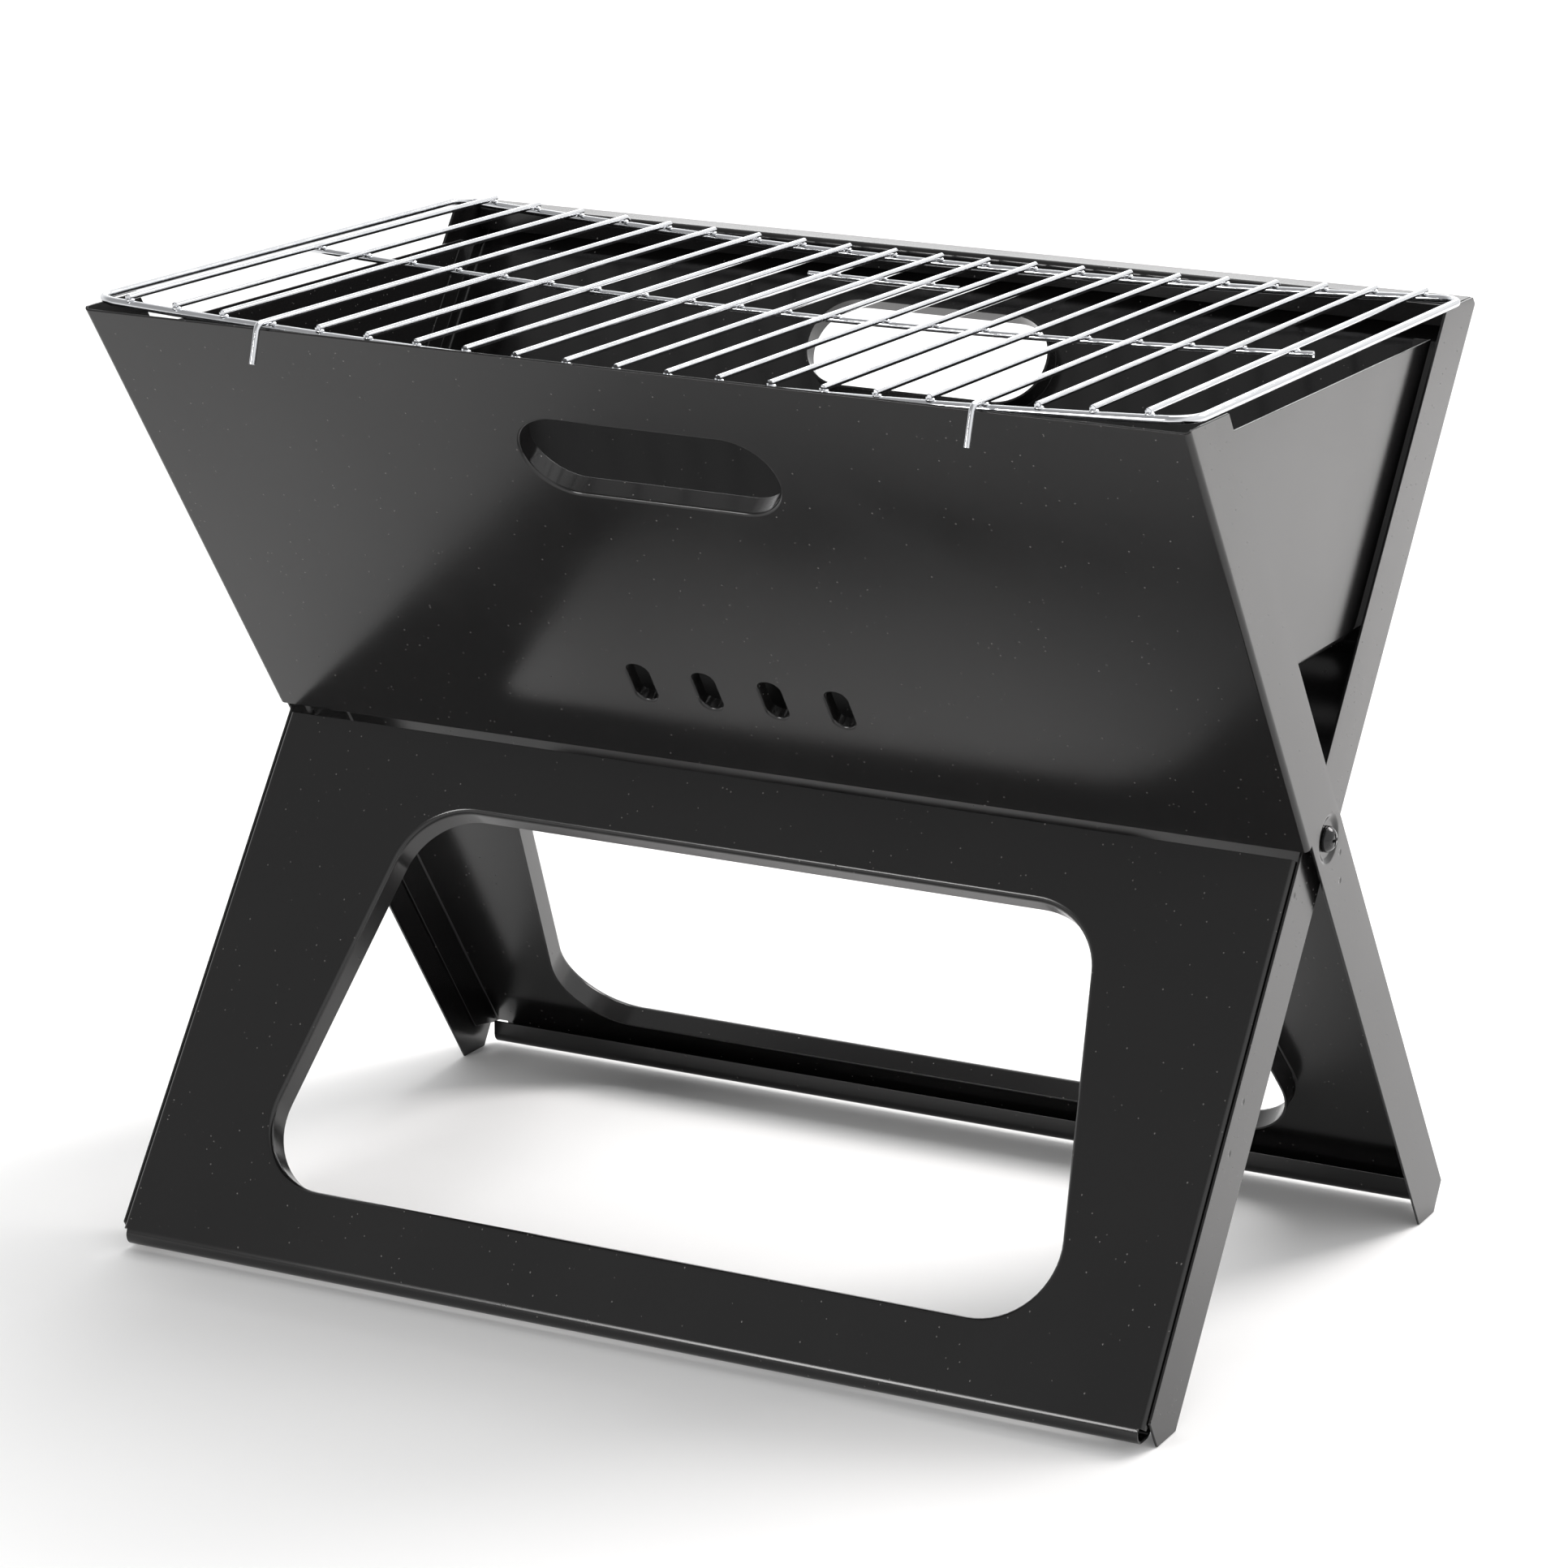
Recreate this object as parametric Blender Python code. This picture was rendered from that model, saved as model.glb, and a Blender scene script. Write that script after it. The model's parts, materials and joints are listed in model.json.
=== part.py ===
"""Folding camp grill: two pressed steel halves crossing at a bolt on each side,
with a lift-out fire basket between them and a hooked wire rack on top.

Metres, +Z up, feet on z = 0, width along X, the vented front towards -Y.
Each half is a fire panel with long side arms, and a leg panel fixed between them."""

import math

import bmesh
import bpy
from mathutils import Matrix, Vector
from mathutils.geometry import delaunay_2d_cdt

# ---- the two halves ----
TILT = math.radians(35.5)       # lean of each half from upright
PIVOT_Y = 0.00425               # bolt line behind the middle of the whole depth
PIVOT_Z = 0.1915                # bolt height above the feet
SHEET = 0.0010                  # pressed sheet
BEND = 0.0022                   # outside radius of the bends
RIM_BEND = 0.0012               # tighter bend round the slots and vents
LEG_BEND = 0.0045               # wider bend at the foot of a leg panel
GAP = 0.0003                    # air between touching pieces
FRONT_HALF_WIDTH = 0.2210       # outside half width of the wider half
REAR_HALF_WIDTH = 0.2173        # outside half width of the half that nests in it

# distances from the bolt, across a half
FIRE_FACE = 0.0165              # outer face of a fire panel
LEG_FACE = 0.0145               # outer face of a leg panel
ARM_TOP_INNER = 0.0125          # free edge of an arm above the bolt
ARM_LOW_OUTER = 0.0131          # arm edge beside the leg panel
ARM_LOW_INNER = 0.0130          # free edge of an arm below the bolt

# distances from the bolt, along a half
FIRE_START = 0.0113             # lower edge of a fire panel
FRONT_TOP = 0.2305              # top edge of the front fire panel
REAR_TOP = 0.2319               # sharp corner of the rear fire panel's top flange
LEG_START = 0.0146              # upper edge of a leg panel
LEG_END = 0.2418                # sharp corner of a leg panel's bottom flange
ARM_STEP = 0.0017               # where an arm widens beside its leg panel
ARM_FOOT = 0.2305               # where an arm's foot starts to slope in
ARM_FOOT_FLAT = 0.0005          # level of the foot's flat, across from the bolt

ARM_TOP_Z = 0.1795              # level tops of the arms above the bolt
ARM_TOP_Y = 0.1415              # where the level top turns into its chamfer
FLANGE_DEPTH = 0.0174           # level flange along a panel's end
LIP_HEIGHT = 0.0100             # lip turned off that flange
LIP_INSET = 0.0060              # the wider leg panel's flange stops this far inside its sides
LEG_FLANGE = 0.0150             # depth of a leg panel's flange inside an arm
LEG_FLANGE_END = 0.2200

# ---- openings in the panels ----
SLOT_SIZE = (0.1040, 0.0376)
SLOT_AT = 0.1807
SLOT_RIM = 0.0085
VENT_SIZE = (0.0088, 0.0196)
VENT_AT = 0.0565
VENT_PITCH = 0.0280
VENT_RIM = 0.0050
WINDOW_TOP = (0.1447, 0.0450)   # half width, and distance down from the bolt
WINDOW_FOOT = (0.1720, 0.2045)
WINDOW_RADIUS = 0.0290
WINDOW_RIM = 0.0110

# ---- pivot bolts ----
BOLT_HOLE = 0.0031
BOLT_RADIUS = 0.0030
DIMPLE_RIM = 0.0100
DIMPLE_FLOOR = 0.0066
DIMPLE_DEPTH = 0.0012
HEAD_RADIUS = 0.0050
HEAD_HEIGHT = 0.0036
NUT_RADIUS = 0.0050
NUT_LENGTH = 0.0048
NUT_BORE = 0.0032
BOLT_END = 0.0015               # thread past the nut
SPACER_RADIUS = 0.0055

# ---- rack, from the bolt line ----
RACK_HALF = 0.2200
RACK_FRONT = -0.1418
RACK_BACK = 0.1230
RACK_LIFT = 0.0023              # frame's corners above the level tops of the arms
RACK_SAG = 0.0064               # the middle of the rack hangs this much lower
RACK_CORNER = 0.0100
RACK_STEPS = 16
FRAME_RADIUS = 0.0016
BAR_RADIUS = 0.0012
BAR_PITCH = 0.0204
BAR_COUNT = 21
BAR_PAST = 0.0014               # how far a bar runs past the frame
HOOK_BARS = (4, 18)
HOOK_FRONT = -0.1514            # hooks over the front panel's top edge
HOOK_DROP = 0.0140
HOOK_LEAN = 0.0040
TURN_BACK = 0.1266              # short turned-down ends inside the rear lip
TURN_DROP = 0.0045
HOOK_BEND = 0.0030
WELD_GAP = 0.00005
LONG_CROSS = 0.2110
SHORT_CROSS = 0.0325
SHORT_CROSS_Y = 0.0720

# ---- fire basket, heights above the bolt ----
GRATE_Z = 0.0670
GRATE_SHEET = 0.0010
GRATE_HALF = (0.2100, 0.0611)
GRATE_EDGE = 0.0070
GRATE_TAB = (0.0360, 0.0100)    # half width and height of its turned-up ends
GRATE_SLOT = (0.0380, 0.0080)
GRATE_SLOTS = (8, 5)
GRATE_PITCH = (0.0500, 0.0220)
END_FACE = 0.2125
END_SHEET = 0.0008
END_BEND = 0.0012
END_INSET = 0.0070              # end plate's edges from the bolt line, across each half
END_BOTTOM = 0.0697
END_TOP = 0.1672
END_RETURN = 0.0070
END_CORNER = 0.0080

# ---- mesh fineness ----
ARC = 3                         # pieces in a bend
ROUND = 6                       # pieces in an outline's corner
RING = 16                       # sides of round parts
WIRE_SIDES = 8

BLACK = ("black_enamel", (0.012, 0.012, 0.013), 0.22, 0.0)
CHROME = ("rack_chrome", (0.80, 0.80, 0.80), 0.16, 1.0)
BOLT_BLACK = ("bolt_black", (0.02, 0.02, 0.021), 0.30, 0.6)
ZINC = ("washer_zinc", (0.55, 0.56, 0.58), 0.35, 1.0)

SIN = math.sin(TILT)
COS = math.cos(TILT)
PIVOT = Vector((0.0, PIVOT_Y, PIVOT_Z))
FRAME_Z = ARM_TOP_Z + RACK_LIFT
BAR_RISE = FRAME_RADIUS + BAR_RADIUS + WELD_GAP


def clear_scene():
    for item in list(bpy.data.objects):
        bpy.data.objects.remove(item, do_unlink=True)


def material(spec):
    name, colour, roughness, metallic = spec
    made = bpy.data.materials.get(name)
    if made is None:
        made = bpy.data.materials.new(name)
        made.use_nodes = True
        shader = made.node_tree.nodes["Principled BSDF"]
        shader.inputs["Base Color"].default_value = (*colour, 1.0)
        shader.inputs["Roughness"].default_value = roughness
        shader.inputs["Metallic"].default_value = metallic
        made.diffuse_color = (*colour, 1.0)
    return made


def finish(name, bm, spec):
    """Make an object of the mesh, seated at the bolt line."""
    mesh = bpy.data.meshes.new(name)
    bm.to_mesh(mesh)
    bm.free()
    mesh.materials.append(material(spec))
    made = bpy.data.objects.new(name, mesh)
    made.location = PIVOT
    bpy.context.scene.collection.objects.link(made)
    return made


def finish_skin(name, bm, spec, thickness, outside, facing):
    """Weld a skin, face it outwards and give it its sheet thickness inwards."""
    bmesh.ops.remove_doubles(bm, verts=bm.verts, dist=0.00002)
    bmesh.ops.recalc_face_normals(bm, faces=bm.faces)
    near = min(bm.faces, key=lambda face: (face.calc_center_median() - Vector(outside)).length)
    if near.normal.dot(Vector(facing)) < 0.0:
        bmesh.ops.reverse_faces(bm, faces=bm.faces)
    made = finish(name, bm, spec)
    solid = made.modifiers.new("sheet", "SOLIDIFY")
    solid.thickness = thickness
    solid.offset = -1.0
    solid.use_even_offset = True
    return made


# ---- outlines, anticlockwise ----
def rounded(corners, radius, grow=0.0, pieces=ROUND):
    """A convex outline with rounded corners, moved outwards by grow."""
    points = []
    count = len(corners)
    for i, corner in enumerate(corners):
        here = Vector(corner)
        arrive = (here - Vector(corners[i - 1])).normalized()
        leave = (Vector(corners[(i + 1) % count]) - here).normalized()
        turn = math.atan2(arrive.cross(leave), arrive.dot(leave))
        left = Vector((-arrive.y, arrive.x))
        centre = here - arrive * (radius * math.tan(turn / 2.0)) + left * radius
        start = math.atan2(-left.y, -left.x)
        for k in range(pieces + 1):
            angle = start + turn * k / pieces
            reach = radius + grow
            points.append((centre.x + reach * math.cos(angle), centre.y + reach * math.sin(angle)))
    return points


def box_corners(centre, size):
    half_x, half_y = size[0] / 2.0, size[1] / 2.0
    signs = ((-1, -1), (1, -1), (1, 1), (-1, 1))
    return [(centre[0] + sx * half_x, centre[1] + sy * half_y) for sx, sy in signs]


def circle(radius, pieces=RING):
    step = 2.0 * math.pi / pieces
    return [(radius * math.cos(step * k), radius * math.sin(step * k)) for k in range(pieces)]


def filleted(corners, radius, pieces=ARC + 1):
    """An open profile with its inner corners rounded."""
    points = [Vector(corners[0])]
    for before, corner, after in zip(corners, corners[1:], corners[2:]):
        here = Vector(corner)
        back = (Vector(before) - here).normalized()
        ahead = (Vector(after) - here).normalized()
        half = back.angle(ahead) / 2.0
        centre = here + (back + ahead).normalized() * (radius / math.sin(half))
        start = here + back * (radius / math.tan(half)) - centre
        sense = 1.0 if start.cross(back) < 0.0 else -1.0
        for k in range(pieces + 1):
            angle = sense * (math.pi - 2.0 * half) * k / pieces
            points.append(centre + Matrix.Rotation(angle, 2) @ start)
    points.append(Vector(corners[-1]))
    return points


# ---- skins ----
def holds(loop, point):
    """Whether a closed outline goes round the point."""
    inside = False
    for (ax, ay), (bx, by) in zip(loop, [*loop[1:], loop[0]]):
        if (ay > point.y) != (by > point.y):
            if point.x < ax + (point.y - ay) * (bx - ax) / (by - ay):
                inside = not inside
    return inside


def add_flat(bm, outline, holes, place):
    """Fill an outline, less its holes, and put each point where place says."""
    points = []
    edges = []
    for loop in [outline, *holes]:
        first = len(points)
        points.extend(Vector(p) for p in loop)
        edges.extend((first + i, first + (i + 1) % len(loop)) for i in range(len(loop)))
    found = delaunay_2d_cdt(points, edges, [], 1, 1e-7)
    verts = [bm.verts.new(place(p.x, p.y)) for p in found[0]]
    for face in found[2]:
        centre = sum((found[0][i] for i in face), Vector((0.0, 0.0))) / len(face)
        if holds(outline, centre) and not any(holds(hole, centre) for hole in holes):
            bm.faces.new([verts[i] for i in face])


def add_rows(bm, rows, closed=False):
    """Quads between rows of as many points each."""
    made = [[bm.verts.new(p) for p in row] for row in rows]
    count = len(made[0])
    for low, high in zip(made, made[1:]):
        for i in range(count if closed else count - 1):
            j = (i + 1) % count
            bm.faces.new((low[i], low[j], high[j], high[i]))


def add_rim(bm, shape, depth, bend, place):
    """A rim turned in round a hole: the bend, then the straight wall."""
    rows = []
    for k in range(ARC + 1):
        angle = math.pi / 2.0 * k / ARC
        drop = bend * (1.0 - math.cos(angle))
        rows.append([place(a, b, drop) for a, b in shape(bend * (1.0 - math.sin(angle)))])
    rows.append([place(a, b, depth) for a, b in shape(0.0)])
    add_rows(bm, rows, closed=True)


def setback(bend):
    """How far before the sharp corner a bend to a level flange starts."""
    return bend * math.tan((math.pi / 2.0 + TILT) / 2.0)


def add_end_flange(bm, start, face, half, bend):
    """The level flange and lip along a panel's end."""
    corner = Vector((start + setback(bend), face))
    turn = corner + Vector((-SIN, -COS)) * FLANGE_DEPTH
    lip = turn + Vector((-COS, SIN)) * LIP_HEIGHT
    before = corner - Vector((setback(bend) * 2.0, 0.0))
    profile = filleted([before, corner, turn, lip], bend)[1:]
    add_rows(bm, [[(-half, u, w), (half, u, w)] for u, w in profile])


def add_side_bend(bm, side, half, face, start, end):
    """The bend between a panel and its side."""
    rows = []
    for k in range(ARC + 1):
        angle = math.pi / 2.0 * k / ARC
        x = side * (half - BEND + BEND * math.sin(angle))
        w = face - BEND + BEND * math.cos(angle)
        rows.append([(x, start, w), (x, end, w)])
    add_rows(bm, rows)


def add_panel_face(bm, half, face, start, end, holes, flange=None):
    """A panel's flat face with its rimmed holes, and the flange at its end if it has one."""
    inner = half - BEND
    outline = [(-inner, start), (inner, start), (inner, end)]
    if flange:
        inset, bend = flange
        if inset > BEND:
            outline += [(half - inset, end), (inset - half, end)]
        add_end_flange(bm, end, face, half - inset, bend)
    outline.append((-inner, end))
    add_flat(bm, outline, [shape(bend) for shape, _, bend in holes], lambda x, u: (x, u, face))
    for shape, depth, bend in holes:
        add_rim(bm, shape, depth, bend, lambda x, u, drop: (x, u, face - drop))


def window_shape(grow):
    top, foot = WINDOW_TOP, WINDOW_FOOT
    corners = [(-top[0], top[1]), (top[0], top[1]), (foot[0], foot[1]), (-foot[0], foot[1])]
    return rounded(corners, WINDOW_RADIUS, grow)


def stadium(centre, size):
    """A slot with round ends, as a shape that can grow."""
    corners = box_corners(centre, size)
    radius = min(size) / 2.0 - GAP
    return lambda grow: rounded(corners, radius, grow)


# ---- pressings ----
def arm_outline(panel_end):
    """An arm seen from its side, as distances along and out from the bolt."""
    edge = FIRE_FACE - BEND
    chamfer = COS * ARM_TOP_Y - SIN * ARM_TOP_Z
    sole_in = (SIN * ARM_LOW_INNER - PIVOT_Z) / COS
    sole_out = (-SIN * ARM_FOOT_FLAT - PIVOT_Z) / COS
    return [
        (panel_end, edge),
        (FIRE_START, edge),
        (FIRE_START, ARM_LOW_INNER),
        (sole_in, ARM_LOW_INNER),
        (sole_out, -ARM_FOOT_FLAT),
        (-ARM_FOOT, -ARM_LOW_OUTER),
        (ARM_STEP - 0.0010, -ARM_LOW_OUTER),
        (ARM_STEP, -ARM_TOP_INNER),
        ((ARM_TOP_Z - SIN * ARM_TOP_INNER) / COS, -ARM_TOP_INNER),
        ((ARM_TOP_Z + SIN * chamfer) / COS, chamfer),
    ]


def add_arm(bm, side, half, outline):
    """An arm's flat side, with the round dimple and hole for the bolt."""
    middle = (DIMPLE_RIM + DIMPLE_FLOOR) / 2.0
    steps = (
        (DIMPLE_RIM, 0.0),
        (middle, DIMPLE_DEPTH / 2.0),
        (DIMPLE_FLOOR, DIMPLE_DEPTH),
        (BOLT_HOLE, DIMPLE_DEPTH),
    )
    add_flat(bm, outline, [circle(DIMPLE_RIM)], lambda u, w: (side * half, u, w))
    rows = [[(side * (half - drop), u, w) for u, w in circle(r)] for r, drop in steps]
    add_rows(bm, rows, closed=True)


def fire_panel(name, half, end, holes, flange=None):
    """A fire panel and its two long arms, bent from one sheet."""
    bm = bmesh.new()
    flat_end = end - setback(flange[1]) if flange else end
    add_panel_face(bm, half, FIRE_FACE, FIRE_START, flat_end, holes, flange)
    for side in (-1, 1):
        add_side_bend(bm, side, half, FIRE_FACE, FIRE_START, flat_end)
        add_arm(bm, side, half, arm_outline(flat_end))
    return finish_skin(name, bm, BLACK, SHEET, (0.0, FIRE_START, FIRE_FACE), (0, 0, 1))


def leg_panel(name, arm_half, inset):
    """A leg panel with its window, and the flanges that fix it inside the arms."""
    bm = bmesh.new()
    half = arm_half - SHEET - GAP
    flat_end = LEG_END - setback(LEG_BEND)
    window = [(window_shape, WINDOW_RIM, BEND)]
    add_panel_face(bm, half, LEG_FACE, LEG_START, flat_end, window, (inset, LEG_BEND))
    outline = [
        (flat_end, LEG_FACE - BEND),
        (LEG_START, LEG_FACE - BEND),
        (LEG_START, LEG_FACE - LEG_FLANGE),
        (LEG_FLANGE_END, LEG_FACE - LEG_FLANGE),
    ]
    for side in (-1, 1):
        add_side_bend(bm, side, half, LEG_FACE, LEG_START, flat_end)
        add_flat(bm, outline, [], lambda u, w, side=side: (side * half, u, w))
    return finish_skin(name, bm, BLACK, SHEET, (0.0, LEG_START, LEG_FACE), (0, 0, 1))


def lean(target, down, turned):
    """Lean a panel out from the bolt line, up or down, to the front or turned to the rear."""
    angle = TILT - math.pi / 2.0 if down else TILT + math.pi / 2.0
    target.rotation_euler = (angle, 0.0, math.pi if turned else 0.0)


def build_halves():
    slot = (stadium((0.0, SLOT_AT), SLOT_SIZE), SLOT_RIM, RIM_BEND)
    places = [(k - 1.5) * VENT_PITCH for k in range(4)]
    vents = [(stadium((x, VENT_AT), VENT_SIZE), VENT_RIM, RIM_BEND) for x in places]
    front = fire_panel("front_fire_panel", FRONT_HALF_WIDTH, FRONT_TOP, [slot, *vents])
    lean(front, down=False, turned=False)
    lean(leg_panel("rear_leg_panel", FRONT_HALF_WIDTH, LIP_INSET), down=True, turned=False)
    rear = fire_panel("rear_fire_panel", REAR_HALF_WIDTH, REAR_TOP, [slot], (BEND, BEND))
    lean(rear, down=False, turned=True)
    lean(leg_panel("front_leg_panel", REAR_HALF_WIDTH, BEND), down=True, turned=True)


# ---- turned pieces ----
def add_turned(bm, side, profile, shape=circle):
    """Rings along X, closed by caps: profile is (distance out, radius)."""
    rows = [[(side * x, a, b) for a, b in shape(r)] for x, r in profile]
    made = [[bm.verts.new(p) for p in row] for row in rows]
    count = len(made[0])
    for low, high in zip(made, made[1:]):
        for i in range(count):
            j = (i + 1) % count
            bm.faces.new((low[i], low[j], high[j], high[i]))
    bm.faces.new(made[0][::-1])
    bm.faces.new(made[-1])
    bmesh.ops.recalc_face_normals(bm, faces=bm.faces)


def add_ring(bm, side, inner_x, outer_x, bore, shape):
    """A ring along X: a round bore inside the given outer shape."""
    loops = [(inner_x, circle(bore)), (outer_x, circle(bore)), (outer_x, shape), (inner_x, shape)]
    made = [[bm.verts.new((side * x, a, b)) for a, b in loop] for x, loop in loops]
    for low, high in zip(made, made[1:] + made[:1]):
        for i in range(RING):
            j = (i + 1) % RING
            bm.faces.new((low[i], low[j], high[j], high[i]))
    bmesh.ops.recalc_face_normals(bm, faces=bm.faces)


def hexagon(across):
    """A hexagon of that half width across flats, with as many points as a ring."""
    points = []
    for k in range(RING):
        angle = 2.0 * math.pi * k / RING
        off = (angle + math.pi / 6.0) % (math.pi / 3.0) - math.pi / 6.0
        reach = across / math.cos(off)
        points.append((reach * math.cos(angle), reach * math.sin(angle)))
    return points


def build_pivots():
    seat = FRONT_HALF_WIDTH - DIMPLE_DEPTH + GAP
    front_inside = FRONT_HALF_WIDTH - DIMPLE_DEPTH - SHEET
    rear_outside = REAR_HALF_WIDTH - DIMPLE_DEPTH
    nut_face = rear_outside - SHEET - GAP
    nut_back = nut_face - NUT_LENGTH
    tip = nut_back - BOLT_END
    head = [
        (tip, BOLT_RADIUS * 0.8),
        (tip + 0.0006, BOLT_RADIUS),
        (seat, BOLT_RADIUS),
        (seat, HEAD_RADIUS),
        (seat + HEAD_HEIGHT * 0.25, HEAD_RADIUS),
        (seat + HEAD_HEIGHT * 0.66, HEAD_RADIUS * 0.82),
        (seat + HEAD_HEIGHT * 0.92, HEAD_RADIUS * 0.48),
        (seat + HEAD_HEIGHT, HEAD_RADIUS * 0.20),
    ]
    for side, word in ((-1, "left"), (1, "right")):
        bm = bmesh.new()
        add_turned(bm, side, head)
        finish(f"pivot_bolt_{word}", bm, BOLT_BLACK)
        bm = bmesh.new()
        add_ring(bm, side, rear_outside + GAP, front_inside - GAP, BOLT_HOLE, circle(SPACER_RADIUS))
        finish(f"pivot_spacer_{word}", bm, ZINC)
        bm = bmesh.new()
        add_ring(bm, side, nut_back, nut_face, NUT_BORE, hexagon(NUT_RADIUS))
        finish(f"pivot_nut_{word}", bm, ZINC)


# ---- wires ----
def add_wire(bm, path, radius, plane, closed=False, sides=WIRE_SIDES):
    """A round wire along a path that lies nearly in the plane of the given normal."""
    count = len(path)
    rings = []
    for i, point in enumerate(path):
        here = Vector(point)
        before = Vector(path[i - 1]) if closed or i > 0 else here
        after = Vector(path[(i + 1) % count]) if closed or i < count - 1 else here
        ahead = (after - before).normalized()
        side = Vector(plane).cross(ahead).normalized()
        up = ahead.cross(side)
        stretch = 1.0
        if before != here and after != here:
            bend = (here - before).angle(after - here, 0.0)
            stretch = 1.0 / math.cos(bend / 2.0)
        ring = []
        for k in range(sides):
            angle = 2.0 * math.pi * (k + 0.5) / sides
            offset = side * (math.cos(angle) * stretch) + up * math.sin(angle)
            ring.append(bm.verts.new(here + offset * radius))
        rings.append(ring)
    pairs = list(zip(rings, rings[1:] + rings[:1])) if closed else list(zip(rings, rings[1:]))
    for low, high in pairs:
        for k in range(sides):
            j = (k + 1) % sides
            bm.faces.new((low[k], low[j], high[j], high[k]))
    if not closed:
        bm.faces.new(rings[0][::-1])
        bm.faces.new(rings[-1])
    bmesh.ops.recalc_face_normals(bm, faces=bm.faces)


def sag(x):
    return RACK_SAG * (1.0 - (x / RACK_HALF) ** 2)


def frame_path():
    middle = ((RACK_FRONT + RACK_BACK) / 2.0)
    size = (2.0 * RACK_HALF, RACK_BACK - RACK_FRONT)
    outline = rounded(box_corners((0.0, middle), size), RACK_CORNER, pieces=4)
    path = []
    for here, after in zip(outline, outline[1:] + outline[:1]):
        path.append(here)
        if abs(here[0] - after[0]) > RACK_HALF:
            step = (after[0] - here[0]) / RACK_STEPS
            path.extend((here[0] + step * k, here[1]) for k in range(1, RACK_STEPS))
    return [(x, y, FRAME_Z - sag(x)) for x, y in path]


def bar_path(number):
    """A bar's path; the hook bars run on over the front panel, and turn down at both ends."""
    x = (number - (BAR_COUNT + 1) / 2.0) * BAR_PITCH
    z = FRAME_Z - sag(x) + BAR_RISE
    if number not in HOOK_BARS:
        return [(x, RACK_FRONT - BAR_PAST, z), (x, RACK_BACK + BAR_PAST, z)]
    corners = [
        (HOOK_FRONT - HOOK_LEAN, z - HOOK_DROP),
        (HOOK_FRONT, z),
        (TURN_BACK, z),
        (TURN_BACK, z - TURN_DROP),
    ]
    return [(x, p.x, p.y) for p in filleted(corners, HOOK_BEND)]


def build_rack():
    bm = bmesh.new()
    add_wire(bm, frame_path(), FRAME_RADIUS, (0, 0, 1), closed=True)
    finish("rack_frame", bm, CHROME)
    for number in range(1, BAR_COUNT + 1):
        bm = bmesh.new()
        add_wire(bm, bar_path(number), BAR_RADIUS, (1, 0, 0))
        finish(f"rack_bar_{number:02d}", bm, CHROME)
    middle = (RACK_FRONT + RACK_BACK) / 2.0
    drop = 2.0 * BAR_RADIUS + WELD_GAP
    wires = (
        ("rack_cross_wire_long", LONG_CROSS, middle, RACK_STEPS),
        ("rack_cross_wire_short", SHORT_CROSS, SHORT_CROSS_Y, 2),
    )
    for name, half, y, steps in wires:
        places = [half * (2.0 * k / steps - 1.0) for k in range(steps + 1)]
        path = [(x, y, FRAME_Z - sag(x) + BAR_RISE - drop) for x in places]
        bm = bmesh.new()
        add_wire(bm, path, BAR_RADIUS, (0, 1, 0))
        finish(name, bm, CHROME)


# ---- fire basket ----
def build_grate():
    """A slotted plate with its long edges turned down and its ends turned up."""
    bm = bmesh.new()
    half_x, half_y = GRATE_HALF
    inner_x, inner_y = half_x - BEND, half_y - BEND
    tab, rise = GRATE_TAB
    outline = [
        (-inner_x, -inner_y), (inner_x, -inner_y),
        (inner_x, -tab), (inner_x, tab),
        (inner_x, inner_y), (-inner_x, inner_y),
        (-inner_x, tab), (-inner_x, -tab),
    ]
    slots = []
    for i in range(GRATE_SLOTS[0]):
        for j in range(GRATE_SLOTS[1]):
            centre = (
                (i - (GRATE_SLOTS[0] - 1) / 2.0) * GRATE_PITCH[0],
                (j - (GRATE_SLOTS[1] - 1) / 2.0) * GRATE_PITCH[1],
            )
            slots.append(rounded(box_corners(centre, GRATE_SLOT), GRATE_SLOT[1] / 2.0 - GAP, pieces=2))
    add_flat(bm, outline, slots, lambda x, y: (x, y, GRATE_Z))
    for side in (-1, 1):
        edge = []
        end = []
        for k in range(ARC + 1):
            angle = math.pi / 2.0 * k / ARC
            out = BEND * math.sin(angle)
            drop = BEND * (1.0 - math.cos(angle))
            edge.append((side * (inner_y + out), GRATE_Z - drop))
            end.append((side * (inner_x + out), GRATE_Z + drop))
        edge.append((side * half_y, GRATE_Z - GRATE_EDGE))
        end.append((side * half_x, GRATE_Z + rise))
        add_rows(bm, [[(-inner_x, y, z), (inner_x, y, z)] for y, z in edge])
        add_rows(bm, [[(x, -tab, z), (x, tab, z)] for x, z in end])
    return finish_skin("charcoal_grate", bm, BLACK, GRATE_SHEET, (0.0, 0.0, GRATE_Z), (0, 0, 1))


def slope_y(z, inset):
    """Half the gap between the two halves at a height, inset from the bolt line."""
    return (z - SIN * inset) * SIN / COS - COS * inset


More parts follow.
